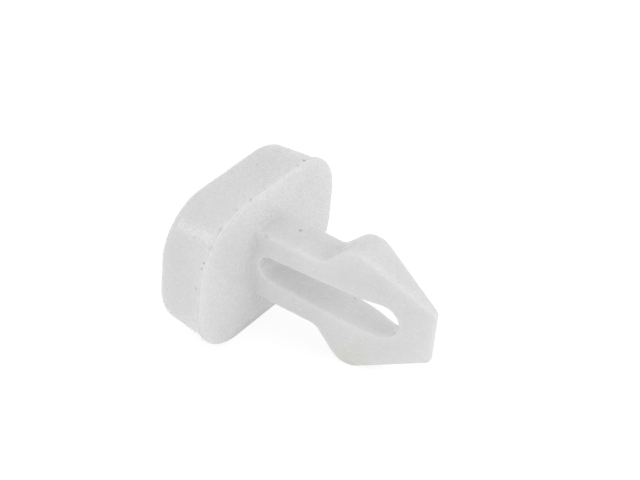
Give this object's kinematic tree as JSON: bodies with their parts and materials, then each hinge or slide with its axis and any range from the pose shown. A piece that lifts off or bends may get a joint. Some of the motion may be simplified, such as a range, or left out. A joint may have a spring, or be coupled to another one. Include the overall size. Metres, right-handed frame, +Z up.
{
  "type": "molding clip",
  "caption": "One-piece natural nylon clip: a thick rounded head for a body moulding's channel and a slotted, barbed stem that snaps into a panel hole.",
  "frame": {"origin": "middle of the underside of the part's box as it lies at rest on the head's lower edge and the lower barb", "axes": "+X along the stem from the head towards the tip, which dips 6.9 degrees below level; +Y along the head's long side, the way the slot runs through; +Z up"},
  "size_m": [0.0178, 0.0144, 0.011],
  "materials": {
    "natural_nylon": "fine matte as-moulded texture, slightly translucent milky white"
  },
  "bodies": {
    "root": {"molding_clip": "natural_nylon"}
  },
  "joints": []
}
